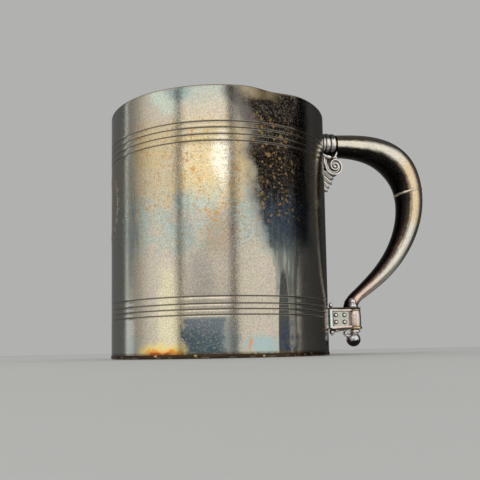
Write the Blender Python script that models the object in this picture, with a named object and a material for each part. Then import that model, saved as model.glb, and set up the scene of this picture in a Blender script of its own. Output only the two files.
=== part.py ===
"""One-handled presentation mug in silver plate, built as the pieces it is soldered from.

The mug stands on z = 0 with its own axis on z, and the handle points along +x.
All dimensions are in millimetres; MM turns them into metres where meshes are made.
"""

import math

import bmesh
import bpy
import numpy as np

MM = 0.001
GAP = 0.3

# Body: a thin wall, slightly wider at the rim, soldered onto a base disc.
HEIGHT = 81.0
FOOT_RADIUS = 36.0
RIM_RADIUS = 36.93
WALL = 1.1
BASE_THICKNESS = 1.0
BASE_RADIUS = 36.15
SPIGOT_HEIGHT = 0.8
GROOVES = (69.5, 67.55, 65.5, 63.5, 17.4, 15.3, 13.7, 12.1)
GROOVE_HALF_WIDTH = 0.28
GROOVE_DEPTH = 0.3
BODY_SEGMENTS = 60

# A knock has pushed the rim in, between the front and the handle.
DENT_ANGLE = math.radians(-73.0)
DENT_DEPTH = 2.0
DENT_WIDTH = 6.5
DENT_REACH = 7.0

# Handle: knots of its centreline as (x, z, tube radius).
HANDLE_KNOTS = (
    (44.1, 75.45, 4.1),
    (54.1, 75.25, 4.75),
    (62.8, 73.0, 5.65),
    (68.6, 68.6, 6.0),
    (72.05, 61.4, 5.45),
    (72.25, 51.0, 4.75),
    (68.5, 40.2, 4.0),
    (60.9, 29.7, 3.15),
    (50.45, 20.7, 2.2),
)
TUBE_WALL = 0.9
TUBE_SAMPLES = 28
SEAM_HEIGHT = 59.2
SEAM_WIDTH = 0.5
SEAM_PROUD = 0.12
SEAM_LEAN = math.radians(-75.0)
SLEEVE_LENGTH = 6.0
SLEEVE_WALL = 0.6

# Upper mount: a reeded collar on a back plate, with a scroll and a leaf under it.
COLLAR_HEIGHT = 75.9
COLLAR_START = 38.5
COLLAR_END = 43.8
COLLAR_GROOVE_RADIUS = 3.35
REEDS = ((39.35, 0.75, 4.1), (40.95, 0.85, 4.15), (42.8, 1.0, 4.1))
SPIGOT_RADIUS = 2.2
SPIGOT_END = 47.5
UPPER_PLATE = (37.2, 38.2)
VOLUTE_CENTRE = (43.0, 67.5)
VOLUTE_TURNS = (
    (-90.0, 1.5), (-180.0, 1.6), (-270.0, 2.6), (-360.0, 2.85),
    (-450.0, 3.3), (-540.0, 3.75), (-585.0, 5.4),
)
VOLUTE_HALF_WIDTH = 1.8
VOLUTE_RIDGE = 0.55

# Lower mount: a riveted block on a back plate, a knuckle barrel and a ball finial.
LOWER_PLATE = (36.5, 37.7)
BLOCK_X = (39.5, 46.2)
BLOCK_Z = (9.3, 15.7)
BLOCK_HALF_WIDTH = 2.6
PANEL_BORDER = 0.5
PANEL_DEPTH = 0.5
RIVETS = ((40.9, 13.5), (44.1, 13.5), (40.9, 11.1), (44.1, 11.1))
RIVET_SHANK = 0.35
RIVET_HEAD = 0.6
KNUCKLE_X = 49.0
KNUCKLE_BORE = 1.0
BARREL_RADIUS = 1.95
BALL_CENTRE = (47.95, 5.0)
BALL_RADIUS = 2.4
PIN_X = 48.75
PIN_RADIUS = 0.55
ELBOW_FOOT = (47.5, 16.1)
ELBOW_FOOT_RADIUS = 2.75

# Colours of the plate, from worn bright silver to black tarnish.
TARNISH = (0.16, 0.15, 0.13)
SILVER = (0.55, 0.53, 0.48)
BRIGHT = (0.72, 0.69, 0.63)
SOLDER = (0.70, 0.52, 0.33)
BARE_METAL = (0.45, 0.36, 0.22)


def clear_scene():
    for old in list(bpy.data.objects):
        bpy.data.objects.remove(old, do_unlink=True)


def metal(name, colour, roughness):
    """Principled metal of the given colour."""
    made = bpy.data.materials.new(name)
    made.use_nodes = True
    shader = made.node_tree.nodes["Principled BSDF"]
    shader.inputs["Base Color"].default_value = (*colour, 1.0)
    shader.inputs["Metallic"].default_value = 1.0
    shader.inputs["Roughness"].default_value = roughness
    made.diffuse_color = (*colour, 1.0)
    return made


def add_piece(name, data, colour, roughness=0.25):
    """Puts a mesh or curve in the scene as one named piece of the mug."""
    piece = bpy.data.objects.new(name, data)
    data.materials.append(metal(name, colour, roughness))
    bpy.context.scene.collection.objects.link(piece)
    piece.parent = bpy.data.objects["mug"]
    return piece


def smooth(mesh, sharp_degrees=35.0):
    mesh.shade_smooth()
    mesh.set_sharp_from_angle(angle=math.radians(sharp_degrees))


def turned_mesh(name, profile, segments):
    """Surface of revolution about z. The profile runs down the outer side, as (radius, z).

    A profile that starts and ends on the axis makes a solid, any other is closed into a ring.
    """
    solid = profile[0][0] == 0 and profile[-1][0] == 0
    shape = bmesh.new()
    points = [shape.verts.new((r * MM, 0.0, z * MM)) for r, z in profile]
    pairs = list(zip(points, points[1:]))
    if not solid:
        pairs.append((points[-1], points[0]))
    edges = [shape.edges.new(pair) for pair in pairs]
    bmesh.ops.spin(
        shape, geom=points + edges, cent=(0, 0, 0), axis=(0, 0, 1),
        angle=2 * math.pi, steps=segments, use_merge=True,
    )
    bmesh.ops.remove_doubles(shape, verts=shape.verts, dist=0.001 * MM)
    bmesh.ops.recalc_face_normals(shape, faces=shape.faces)
    mesh = bpy.data.meshes.new(name)
    shape.to_mesh(mesh)
    shape.free()
    smooth(mesh)
    return mesh


def turned(name, profile, colour, segments=24, x=0.0, z=0.0, tilt=(0, 0, 0), roughness=0.25):
    """A turned piece whose own axis stands at x, z, tilted by the given Euler angles."""
    piece = add_piece(name, turned_mesh(name, profile, segments), colour, roughness)
    piece.location = (x * MM, 0.0, z * MM)
    piece.rotation_euler = tilt
    return piece


ALONG_X = (0.0, math.pi / 2, 0.0)
ALONG_Y = (math.pi / 2, 0.0, 0.0)


def slab_mesh(name, outline, near, far, place):
    """Prism between two parallel planes; place(u, v, w) turns the outline into x, y, z."""
    shape = bmesh.new()
    points = [shape.verts.new([c * MM for c in place(u, v, near)]) for u, v in outline]
    face = shape.faces.new(points)
    swept = bmesh.ops.extrude_face_region(shape, geom=[face])["geom"]
    moved = [item for item in swept if isinstance(item, bmesh.types.BMVert)]
    start = np.array(place(0.0, 0.0, near))
    end = np.array(place(0.0, 0.0, far))
    bmesh.ops.translate(shape, verts=moved, vec=tuple((end - start) * MM))
    bmesh.ops.recalc_face_normals(shape, faces=shape.faces)
    mesh = bpy.data.meshes.new(name)
    shape.to_mesh(mesh)
    shape.free()
    return mesh


def upright(x, z, y):
    return (x, y, z)


def facing_handle(y, z, x):
    return (x, y, z)


def rounded(piece, width, segments=1, sharpest=50.0):
    """Eases the sharp edges of a piece."""
    bevel = piece.modifiers.new("eased edges", "BEVEL")
    bevel.width = width * MM
    bevel.segments = segments
    bevel.limit_method = "ANGLE"
    bevel.angle_limit = math.radians(sharpest)
    bevel.use_clamp_overlap = True


def side_profile(name, outline, half_width, colour, ease=0.2, roughness=0.25):
    """A casting with the given x, z outline, as thick as twice half_width across y."""
    mesh = slab_mesh(name, outline, -half_width, half_width, upright)
    piece = add_piece(name, mesh, colour, roughness)
    if ease:
        rounded(piece, ease)
    return piece


def back_plate(name, outline, x_span, colour, ease=0.3):
    """A plate against the wall with the given y, z outline."""
    mesh = slab_mesh(name, outline, x_span[0], x_span[1], facing_handle)
    piece = add_piece(name, mesh, colour)
    rounded(piece, ease)
    return piece


def combine(piece, helper, operation):
    """Boolean of a piece with a hidden helper."""
    helper.hide_render = True
    helper.display_type = "WIRE"
    change = piece.modifiers.new(helper.name, "BOOLEAN")
    change.operation = operation
    change.solver = "EXACT"
    change.object = helper


def spline_through(knots):
    """Natural cubic spline through the knots, as a function of 0 to 1 along their chords."""
    values = np.array(knots, float)
    steps = np.linalg.norm(np.diff(values[:, :2], axis=0), axis=1)
    places = np.concatenate([[0.0], np.cumsum(steps)])
    count = len(values)
    system = np.eye(count)
    slopes = np.zeros_like(values)
    rises = np.diff(values, axis=0) / steps[:, None]
    for i in range(1, count - 1):
        system[i, i - 1:i + 2] = (steps[i - 1], 2 * (steps[i - 1] + steps[i]), steps[i])
        slopes[i] = 6 * (rises[i] - rises[i - 1])
    bends = np.linalg.solve(system, slopes)

    def at(u):
        place = u * places[-1]
        i = min(int(np.searchsorted(places, place, side="right")) - 1, count - 2)
        i = max(i, 0)
        width = steps[i]
        left = (places[i + 1] - place) / width
        right = 1.0 - left
        bend = (left**3 - left) * bends[i] + (right**3 - right) * bends[i + 1]
        return left * values[i] + right * values[i + 1] + bend * width**2 / 6

    return at, places[-1]


def ring_points(sample, radius, sides):
    """Circle about a sample (x, z, radius, lean), square to a path that leans at that angle."""
    x, z, _, lean = sample
    points = []
    for k in range(sides):
        turn = 2 * math.pi * k / sides
        out = radius * math.cos(turn)
        points.append((x - out * math.sin(lean), radius * math.sin(turn), z + out * math.cos(lean)))
    return points


def sweep(name, samples, colour, wall=None, sides=16, roughness=0.22):
    """Round piece along the samples; with a wall it is a tube open at both ends."""
    shape = bmesh.new()
    circles = [ring_points(sample, sample[2], sides) for sample in samples]
    if wall is not None:
        circles += [ring_points(sample, sample[2] - wall, sides) for sample in reversed(samples)]
    rings = [[shape.verts.new([c * MM for c in point]) for point in circle] for circle in circles]
    joins = list(zip(rings, rings[1:]))
    if wall is None:
        shape.faces.new(rings[0])
        shape.faces.new(rings[-1])
    else:
        joins.append((rings[-1], rings[0]))
    for near, far in joins:
        for k in range(sides):
            after = (k + 1) % sides
            shape.faces.new((near[k], near[after], far[after], far[k]))
    bmesh.ops.recalc_face_normals(shape, faces=shape.faces)
    mesh = bpy.data.meshes.new(name)
    shape.to_mesh(mesh)
    shape.free()
    smooth(mesh)
    return add_piece(name, mesh, colour, roughness)


def wall_radius(z):
    return FOOT_RADIUS + (RIM_RADIUS - FOOT_RADIUS) * z / HEIGHT


def dented(x, y, z):
    """The place of a wall point after the knock at the rim."""
    angle = math.atan2(y, x) - DENT_ANGLE
    along = math.hypot(x, y) * angle / DENT_WIDTH
    down = (HEIGHT - z) / DENT_REACH
    push = DENT_DEPTH * math.exp(-along**2 - down**2)
    return x - push * math.cos(DENT_ANGLE), y - push * math.sin(DENT_ANGLE), z


def build_body():
    foot = BASE_THICKNESS + GAP
    outer = [(wall_radius(HEIGHT) - 0.25, HEIGHT), (wall_radius(HEIGHT), HEIGHT - 0.25)]
    outer += [(wall_radius(HEIGHT - drop), HEIGHT - drop) for drop in (2.5, 5.0, 8.0)]
    for z in GROOVES:
        outer.append((wall_radius(z), z + GROOVE_HALF_WIDTH))
        outer.append((wall_radius(z) - GROOVE_DEPTH, z))
        outer.append((wall_radius(z), z - GROOVE_HALF_WIDTH))
    outer.append((wall_radius(foot), foot))
    inner = [(wall_radius(foot) - WALL, foot)]
    inner += [(wall_radius(HEIGHT - drop) - WALL, HEIGHT - drop) for drop in (20.0, 8.0, 5.0, 2.5)]
    inner.append((wall_radius(HEIGHT) - WALL, HEIGHT - 0.25))
    inner.append((wall_radius(HEIGHT) - WALL + 0.25, HEIGHT))
    mesh = turned_mesh("body_wall", outer + inner, BODY_SEGMENTS)
    for point in mesh.vertices:
        x, y, z = (c / MM for c in point.co)
        point.co = [c * MM for c in dented(x, y, z)]
    add_piece("body_wall", mesh, SILVER)

    spigot = FOOT_RADIUS - WALL - GAP
    top = BASE_THICKNESS + SPIGOT_HEIGHT
    disc = [
        (0, top), (spigot - GAP, top), (spigot, top - GAP), (spigot, BASE_THICKNESS),
        (BASE_RADIUS - 0.1, BASE_THICKNESS), (BASE_RADIUS, 0.85), (BASE_RADIUS, 0.2),
        (BASE_RADIUS - 0.2, 0.0), (0, 0.0),
    ]
    turned("base_disc", disc, BARE_METAL, BODY_SEGMENTS)

    floor = top + GAP
    fillet = [
        (spigot, floor + 1.3), (spigot, floor), (spigot - 1.3, floor), (spigot - 0.5, floor + 0.5),
    ]
    turned("base_solder_fillet", fillet, SOLDER, BODY_SEGMENTS // 2, roughness=0.4)


def build_handle():
    at, length = spline_through(HANDLE_KNOTS)
    seam = next(u for u in np.linspace(0.0, 1.0, 801) if at(u)[1] < SEAM_HEIGHT)

    def sample(u):
        """(x, z, radius, lean) at u, where lean is the angle of the path above the x axis."""
        rise = at(u + 0.001) - at(u - 0.001)
        return (*at(u), math.atan2(rise[1], rise[0]))

    def stretch(start, end, count):
        return [sample(u) for u in np.linspace(start, end, count)]

    half_seam = SEAM_WIDTH / 2 / length
    clear = half_seam + GAP / length
    upper_count = round(TUBE_SAMPLES * seam)
    upper = stretch(0.0, seam - clear, upper_count)
    lower = stretch(seam + clear, 1.0, TUBE_SAMPLES - upper_count)
    upper[-1] = (*upper[-1][:3], SEAM_LEAN)
    lower[0] = (*lower[0][:3], SEAM_LEAN)
    sweep("handle_upper_tube", upper, SILVER, wall=TUBE_WALL)
    sweep("handle_lower_tube", lower, SILVER, wall=TUBE_WALL)

    bead = stretch(seam - half_seam, seam + half_seam, 2)
    ring = [(x, z, radius + SEAM_PROUD, SEAM_LEAN) for x, z, radius, _ in bead]
    sweep("handle_joint_solder", ring, SOLDER, wall=TUBE_WALL + SEAM_PROUD)

    half_sleeve = SLEEVE_LENGTH / 2 / length
    inside = stretch(seam - half_sleeve, seam + half_sleeve, 5)
    narrowest = min(radius for _, _, radius, _ in inside) - TUBE_WALL - GAP
    sleeve = [(x, z, narrowest, lean) for x, z, _, lean in inside]
    sweep("handle_joint_sleeve", sleeve, BARE_METAL, wall=SLEEVE_WALL)

    build_elbow(sample(1.0))


def build_elbow(tube_end):
    """The solid foot of the handle, which turns down onto the block and the barrel."""
    x, z, radius, lean = tube_end
    along = np.array([math.cos(lean), math.sin(lean)])
    start = np.array([x, z]) + along * GAP
    foot = np.array(ELBOW_FOOT)
    corner = start + along * (start[0] - foot[0]) / -along[0]
    samples = []
    for t in np.linspace(0.0, 1.0, 7):
        place = (1 - t)**2 * start + 2 * t * (1 - t) * corner + t**2 * foot
        heading = (1 - t) * (corner - start) + t * (foot - corner)
        width = radius + (ELBOW_FOOT_RADIUS - radius) * t
        samples.append((*place, width, math.atan2(heading[1], heading[0])))
    sweep("handle_elbow", samples, SILVER)


def build_upper_mount():
    tip, shoulder, top_arc = 57.6, 66.0, 4.3
    outline = [
        (top_arc * math.cos(a), COLLAR_HEIGHT + top_arc * math.sin(a))
        for a in np.linspace(-0.5, math.pi + 0.5, 13)
    ]
    outline += [(-2.2, shoulder), (-1.4, 60.5), (0.0, tip), (1.4, 60.5), (2.2, shoulder)]
    back_plate("upper_back_plate", outline, UPPER_PLATE, TARNISH)

    profile = [(0, SPIGOT_END), (SPIGOT_RADIUS, SPIGOT_END), (SPIGOT_RADIUS, COLLAR_END)]
    profile.append((COLLAR_GROOVE_RADIUS, COLLAR_END))
    for x, half_width, radius in reversed(REEDS):
        for a in np.linspace(0.0, math.pi, 6)[1:-1]:
            bulge = math.sin(a) * (radius - COLLAR_GROOVE_RADIUS)
            profile.append((COLLAR_GROOVE_RADIUS + bulge, x + half_width * math.cos(a)))
        profile.append((COLLAR_GROOVE_RADIUS, x - half_width))
    profile += [(COLLAR_GROOVE_RADIUS, COLLAR_START), (0, COLLAR_START)]
    turned("reeded_collar", profile, SILVER, 24, z=COLLAR_HEIGHT, tilt=ALONG_X)

    build_scroll()
    calyx = [(41.2, 71.2), (43.4, 70.5), (44.5, 70.1), (45.0, 70.4), (44.5, 70.95), (41.5, 71.4)]
    side_profile("calyx_leaf", calyx, 1.5, BRIGHT, ease=0.1)
    leaf = [
        (38.5, 65.9), (39.6, 64.8), (40.6, 63.8), (41.7, 63.4), (42.6, 62.9), (42.3, 62.2),
        (41.0, 62.0), (41.9, 61.4), (42.1, 60.7), (40.5, 60.6), (41.1, 59.6), (40.9, 58.9),
        (39.9, 59.1), (39.7, 58.5), (38.5, 58.2),
    ]
    side_profile("leaf_drop", leaf, 1.4, BRIGHT, ease=0.12)


def volute(turn, inset=0.0):
    """Point of the spiral at a turn in degrees, pulled in towards the centre by inset."""
    degrees, radii = zip(*reversed(VOLUTE_TURNS))
    radius = float(np.interp(turn, degrees, radii)) - inset
    angle = math.radians(turn)
    x, z = VOLUTE_CENTRE
    return (x + radius * math.cos(angle), z + radius * math.sin(angle))


def build_scroll():
    """A comma-shaped cheek against the plate, with the spiral ridge out on both sides."""
    top, under, tail = -270.0, -505.0, -575.0
    seat = UPPER_PLATE[1] + GAP
    cheek = [volute(turn) for turn in np.linspace(top, under, 14)] + [(seat, 66.9), (seat, 71.3)]
    body = side_profile("scroll_bracket", cheek, VOLUTE_HALF_WIDTH, BRIGHT, ease=0)

    turns = np.linspace(-100.0, tail, 26)
    ridge = [volute(turn, 0.02) for turn in turns]
    ridge += [volute(turn, VOLUTE_RIDGE) for turn in reversed(turns)]
    outline_width = VOLUTE_HALF_WIDTH + 0.35
    mesh = slab_mesh("scroll_ridge", ridge, -outline_width, outline_width, upright)
    helper = bpy.data.objects.new("scroll_ridge", mesh)
    bpy.context.scene.collection.objects.link(helper)
    combine(body, helper, "UNION")


def build_lower_mount():
    low, high, half = 4.4, 19.9, 3.2
    side = [(1.3, low + 0.3), (2.4, 6.2), (half, 9.0), (half, 15.9), (2.4, 18.0), (1.3, high - 0.3)]
    outline = [(0.0, low)] + side + [(0.0, high)] + [(-y, z) for y, z in reversed(side)]
    back_plate("lower_back_plate", outline, LOWER_PLATE, SILVER, ease=0.5)
    flange = [(38.0, 9.0), (39.2, 9.0), (39.2, 15.6), (38.0, 15.6)]
    side_profile("block_flange", flange, 2.9, BRIGHT, ease=0.15)
    build_block()
    build_knuckle()

    bead = [(0, 2.0), (0.35, 1.85), (0.62, 1.3), (0.65, 0.9), (0.5, 0.3), (0.35, 0), (0, 0)]
    turned("top_bead", bead, BRIGHT, 12, x=38.75, z=15.9)
    drop = [(0, 2.5), (0.55, 2.5), (0.75, 1.9), (0.7, 1.2), (0.35, 0.4), (0.12, 0), (0, 0)]
    turned("pendant_drop", drop, BRIGHT, 12, x=39.1, z=6.2)
    apron = [(40.2, 9.0), (40.2, 8.3), (42.0, 8.5), (43.8, 8.3), (45.6, 8.3), (45.6, 9.0)]
    side_profile("apron_moulding", apron, 2.3, SILVER, ease=0.1)
    curl = [
        (44.0, 8.0), (45.6, 8.0), (45.3, 7.1), (45.1, 6.2), (45.1, 5.5), (44.4, 5.3),
        (43.8, 5.8), (43.8, 6.9),
    ]
    side_profile("apron_curl", curl, 1.3, BRIGHT, ease=0.12)


def build_block():
    left, right = BLOCK_X
    low, high = BLOCK_Z
    outline = [(left, low), (right, low), (right, high), (left, high)]
    block = side_profile("strap_block", outline, BLOCK_HALF_WIDTH, SILVER, ease=0)
    shape = bmesh.new()
    shape.from_mesh(block.data)
    cheeks = [face for face in shape.faces if abs(face.normal.y) > 0.9]
    bmesh.ops.inset_individual(
        shape, faces=cheeks, thickness=PANEL_BORDER * MM, depth=-PANEL_DEPTH * MM
    )
    shape.to_mesh(block.data)
    shape.free()

    panel = BLOCK_HALF_WIDTH - PANEL_DEPTH
    seat = panel + 0.15
    crown = seat + 0.5
    half = [(0, crown), (RIVET_HEAD * 0.6, crown - 0.1), (RIVET_HEAD, seat + 0.15), (RIVET_HEAD, seat)]
    rivet = half + [(RIVET_SHANK, seat), (RIVET_SHANK, -seat)] + [(r, -y) for r, y in reversed(half)]
    reach = BLOCK_HALF_WIDTH + 1.0
    drill = RIVET_SHANK + 0.2
    hole = [(0, reach), (drill, reach), (drill, -reach), (0, -reach)]
    for number, (x, z) in enumerate(RIVETS, start=1):
        turned(f"block_rivet_{number}", rivet, BRIGHT, 10, x=x, z=z, tilt=ALONG_Y)
        cutter = bpy.data.objects.new(f"rivet_hole_{number}", turned_mesh("rivet_hole", hole, 10))
        cutter.location = (x * MM, 0.0, z * MM)
        cutter.rotation_euler = ALONG_Y
        bpy.context.scene.collection.objects.link(cutter)
        combine(block, cutter, "DIFFERENCE")


def washer(name, outer, bore, low, high, x, colour):
    """A plain ring with eased outer edges."""
    ease = min(0.2, (high - low) / 4)
    profile = [
        (bore, high), (outer - ease, high), (outer, high - ease),
        (outer, low + ease), (outer - ease, low), (bore, low),
    ]
    turned(name, profile, colour, 20, x=x)


def build_knuckle():
    washer("barrel_top_ring", 2.15, KNUCKLE_BORE, 15.1, 15.7, KNUCKLE_X, SOLDER)
    washer("knuckle_barrel", BARREL_RADIUS, KNUCKLE_BORE, 9.5, 14.9, KNUCKLE_X, BRIGHT)
    washer("barrel_bottom_ring", 2.25, KNUCKLE_BORE, 8.6, 9.2, KNUCKLE_X, SOLDER)
    washer("finial_collar", 1.5, PIN_RADIUS + GAP, 7.7, 8.3, PIN_X, BRIGHT)

    ball_x, ball_z = BALL_CENTRE
    meridian = [
        (BALL_RADIUS * math.sin(a), BALL_RADIUS * math.cos(a)) for a in np.linspace(0.0, math.pi, 13)
    ]
    meridian[0] = (0, BALL_RADIUS)
    meridian[-1] = (0, -BALL_RADIUS)
    ball = turned("ball_finial", meridian, BRIGHT, 20, x=ball_x, z=ball_z, roughness=0.15)

    pin_bottom, pin_top = 5.7, 12.5
    pin = [(0, pin_top), (PIN_RADIUS, pin_top), (PIN_RADIUS, pin_bottom), (0, pin_bottom)]
    turned("finial_pin", pin, BARE_METAL, 12, x=PIN_X)
    clear = PIN_RADIUS + GAP
    socket = [(0, pin_top), (clear, pin_top), (clear, pin_bottom - GAP), (0, pin_bottom - GAP)]
    cutter = bpy.data.objects.new("finial_socket", turned_mesh("finial_socket", socket, 12))
    cutter.location = (PIN_X * MM, 0.0, 0.0)
    bpy.context.scene.collection.objects.link(cutter)
    combine(ball, cutter, "DIFFERENCE")


def build_mug():
    clear_scene()
    origin = bpy.data.objects.new("mug", None)
    bpy.context.scene.collection.objects.link(origin)
    build_body()
    build_handle()
    build_upper_mount()
    build_lower_mount()


build_mug()
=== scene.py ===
from math import atan2, cos, exp, hypot, pi, radians, sin

import bmesh
import bpy
import numpy as np
from mathutils import Matrix, Vector, noise


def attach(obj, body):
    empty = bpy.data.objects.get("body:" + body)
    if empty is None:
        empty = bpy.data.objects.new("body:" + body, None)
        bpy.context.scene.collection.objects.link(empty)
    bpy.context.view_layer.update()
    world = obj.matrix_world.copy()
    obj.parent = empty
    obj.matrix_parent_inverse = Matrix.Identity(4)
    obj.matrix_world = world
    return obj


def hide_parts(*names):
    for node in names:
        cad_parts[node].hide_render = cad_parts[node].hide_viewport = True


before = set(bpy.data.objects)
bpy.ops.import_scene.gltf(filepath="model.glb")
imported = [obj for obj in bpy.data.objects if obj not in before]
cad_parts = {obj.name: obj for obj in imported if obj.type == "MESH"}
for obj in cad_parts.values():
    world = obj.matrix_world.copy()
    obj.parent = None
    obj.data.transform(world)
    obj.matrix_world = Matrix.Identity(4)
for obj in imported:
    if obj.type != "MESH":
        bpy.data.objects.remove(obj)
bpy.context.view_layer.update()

# A tarnished silver-plated presentation mug. Lengths are in millimetres until MM turns them
# into metres. The mug stands on z = 0 with its own axis on z, and the handle points along +x.
# Turn is the angle round the mug's axis in degrees, with the handle at 0.
MM = 0.001

# Body
HEIGHT = 81
FOOT_RADIUS = 36
RIM_RADIUS = 36.93
WALL = 1.1
BASE_THICKNESS = 1
BASE_RADIUS = 36.15
SPIGOT_RISE = 0.8
SPIGOT_GAP = 0.1
LIP_RADIUS = 0.4
GROOVES = (69.5, 67.55, 65.5, 63.5, 17.4, 15.3, 13.7, 12.1)
GROOVE_SHAPE = ((0.26, 0), (0.18, 0.02), (0.08, 0.1), (0, 0.14), (-0.08, 0.1), (-0.18, 0.02), (-0.26, 0))
BODY_SEGMENTS = 384
DENT_TURN = -73
DENT_DEPTH = 2
DENT_WIDTH = 6.5
DENT_REACH = 7

# Handle: knots of its centreline as (x, z, tube radius).
HANDLE_KNOTS = (
    (44.1, 75.45, 4.1), (54.1, 75.25, 4.75), (62.8, 73, 5.65), (68.6, 68.6, 6), (72.05, 61.4, 5.45),
    (72.25, 51, 4.75), (68.5, 40.2, 4), (60.9, 29.7, 3.15), (50.45, 20.7, 2.2),
)
TUBE_SIDES = 64
SEAM_HEIGHT = 59.2
SEAM_SIDES = 96
SEAM_SECTION_SIDES = 12
SEAM_LEAN = radians(-75)

# Upper mount
COLLAR_HEIGHT = 75.9
COLLAR_PLATE_RADIUS = 4.3
CHEEK_REACH = 1.35
VOLUTE_CENTRE = (43, 67.5)
VOLUTE_TURNS = (
    (180, 0.6), (90, 1.1), (0, 1.5), (-90, 1.5), (-180, 1.6), (-270, 2.6), (-360, 2.85),
    (-450, 3.3), (-540, 3.75), (-585, 5.4),
)

# Lower mount
BLOCK_X = (39.5, 46.2)
BLOCK_Z = (9.2, 15.2)
BLOCK_HALF_WIDTH = 2.6
PANEL_DEPTH = 0.5
RIVETS = ((40.85, 13.5), (44, 13.5), (40.85, 11.05), (44, 11.05))
PIN_X = 48.65
BALL_CENTRE = (47.9, 5)
BALL_RADIUS = 2.5
ELBOW_FOOT = (47.5, 16.3)
ELBOW_FOOT_RADIUS = 2.75


# ---------------------------------------------------------------- mesh helpers

def shown(name, data):
    """A new object in the scene."""
    piece = bpy.data.objects.new(name, data)
    bpy.context.scene.collection.objects.link(piece)
    return piece


def mesh_piece(name, points, faces, sharp_degrees=40):
    """A smooth-shaded object from points in millimetres."""
    shape = bmesh.new()
    verts = [shape.verts.new([c * MM for c in point]) for point in points]
    for face in faces:
        shape.faces.new([verts[i] for i in face])
    bmesh.ops.remove_doubles(shape, verts=shape.verts, dist=0.002 * MM)
    bmesh.ops.dissolve_degenerate(shape, dist=0.001 * MM, edges=shape.edges)
    bmesh.ops.recalc_face_normals(shape, faces=shape.faces)
    mesh = bpy.data.meshes.new(name)
    shape.to_mesh(mesh)
    shape.free()
    mesh.shade_smooth()
    mesh.set_sharp_from_angle(angle=radians(sharp_degrees))
    return shown(name, mesh)


def skin(rings, closed=False, capped=False):
    """Points and faces of the skin over rings that all have the same number of points."""
    count = len(rings[0])
    points = [point for ring in rings for point in ring]
    last = len(rings) if closed else len(rings) - 1
    faces = []
    for row in range(last):
        near = row * count
        far = (row + 1) % len(rings) * count
        for k in range(count):
            after = (k + 1) % count
            faces.append((near + k, near + after, far + after, far + k))
    if capped:
        faces.append(tuple(range(count)))
        faces.append(tuple(range(len(points) - count, len(points))))
    return points, faces


def along_z(x, z):
    return lambda radius, height, turn: (x + radius * cos(turn), radius * sin(turn), z + height)


def along_x(z):
    return lambda radius, height, turn: (height, radius * cos(turn), z + radius * sin(turn))


def along_y(x, z):
    return lambda radius, height, turn: (x + radius * cos(turn), height, z + radius * sin(turn))


def around(segments):
    return [2 * pi * k / segments for k in range(segments)]


def turned(name, profile, place, segments=64):
    """Turned piece from a closed (radius, height) profile; place puts it on its own axis."""
    rings = [[place(r, h, turn) for turn in around(segments)] for r, h in profile]
    ring_shaped = profile[0][0] > 0 and profile[-1][0] > 0
    return mesh_piece(name, *skin(rings, closed=ring_shaped))


def eased(profile, ease, steps=4):
    """Rounds every corner off the axis of a (radius, height) profile."""
    made = []
    for i, point in enumerate(profile):
        before = profile[i - 1]
        after = profile[(i + 1) % len(profile)]
        if point[0] == 0:
            made.append(point)
            continue
        back = Vector(before) - Vector(point)
        ahead = Vector(after) - Vector(point)
        cut = min(ease, back.length * 0.45, ahead.length * 0.45)
        start = Vector(point) + back.normalized() * cut
        end = Vector(point) + ahead.normalized() * cut
        for step in range(steps + 1):
            t = step / steps
            made.append(tuple((1 - t)**2 * start + 2 * t * (1 - t) * Vector(point) + t**2 * end))
    return made


def rounded_outline(outline, steps=5):
    """Closed Catmull-Rom curve through the corners of an outline."""
    corners = [Vector(point) for point in outline]
    made = []
    for i in range(len(corners)):
        a, b, c, d = (corners[(i + k) % len(corners)] for k in (-1, 0, 1, 2))
        for step in range(steps):
            t = step / steps
            bend = (2 * a - 5 * b + 4 * c - d) * t**2 + (3 * b - a - 3 * c + d) * t**3
            made.append(tuple(0.5 * (2 * b + (c - a) * t + bend)))
    return made


def slab(name, outline, near, far, place, ease):
    """Flat casting between two planes with rounded edges; place turns (u, v, w) into x, y, z."""
    rings = [[place(u, v, w) for u, v in outline] for w in (near, far)]
    piece = mesh_piece(name, *skin(rings, capped=True))
    bevel = piece.modifiers.new("rounded edges", "BEVEL")
    bevel.width = ease * MM
    bevel.segments = 4
    bevel.limit_method = "ANGLE"
    bevel.angle_limit = radians(50)
    bevel.use_clamp_overlap = True
    bevel.harden_normals = True
    return piece


def upright(x, z, y):
    return (x, y, z)


def facing_handle(y, z, x):
    return (x, y, z)


def ring_points(sample, sides, across=1):
    """Section about a sample (x, z, radius, lean), stretched by across along y."""
    x, z, radius, lean = sample
    points = []
    for turn in around(sides):
        out = radius * cos(turn)
        side = across * radius * sin(turn)
        points.append((x - out * sin(lean), side, z + out * cos(lean)))
    return points


def spline_through(knots):
    """Natural cubic spline through the knots, as a function of 0 to 1 along their chords."""
    values = np.array(knots, float)
    steps = np.linalg.norm(np.diff(values[:, :2], axis=0), axis=1)
    places = np.concatenate([[0], np.cumsum(steps)])
    count = len(values)
    system = np.eye(count)
    slopes = np.zeros_like(values)
    rises = np.diff(values, axis=0) / steps[:, None]
    for i in range(1, count - 1):
        system[i, i - 1:i + 2] = (steps[i - 1], 2 * (steps[i - 1] + steps[i]), steps[i])
        slopes[i] = 6 * (rises[i] - rises[i - 1])
    bends = np.linalg.solve(system, slopes)

    def at(u):
        place = u * places[-1]
        i = min(int(np.searchsorted(places, place, side="right")) - 1, count - 2)
        i = max(i, 0)
        width = steps[i]
        left = (places[i + 1] - place) / width
        right = 1 - left
        bend = (left**3 - left) * bends[i] + (right**3 - right) * bends[i + 1]
        return left * values[i] + right * values[i + 1] + bend * width**2 / 6

    return at


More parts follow.
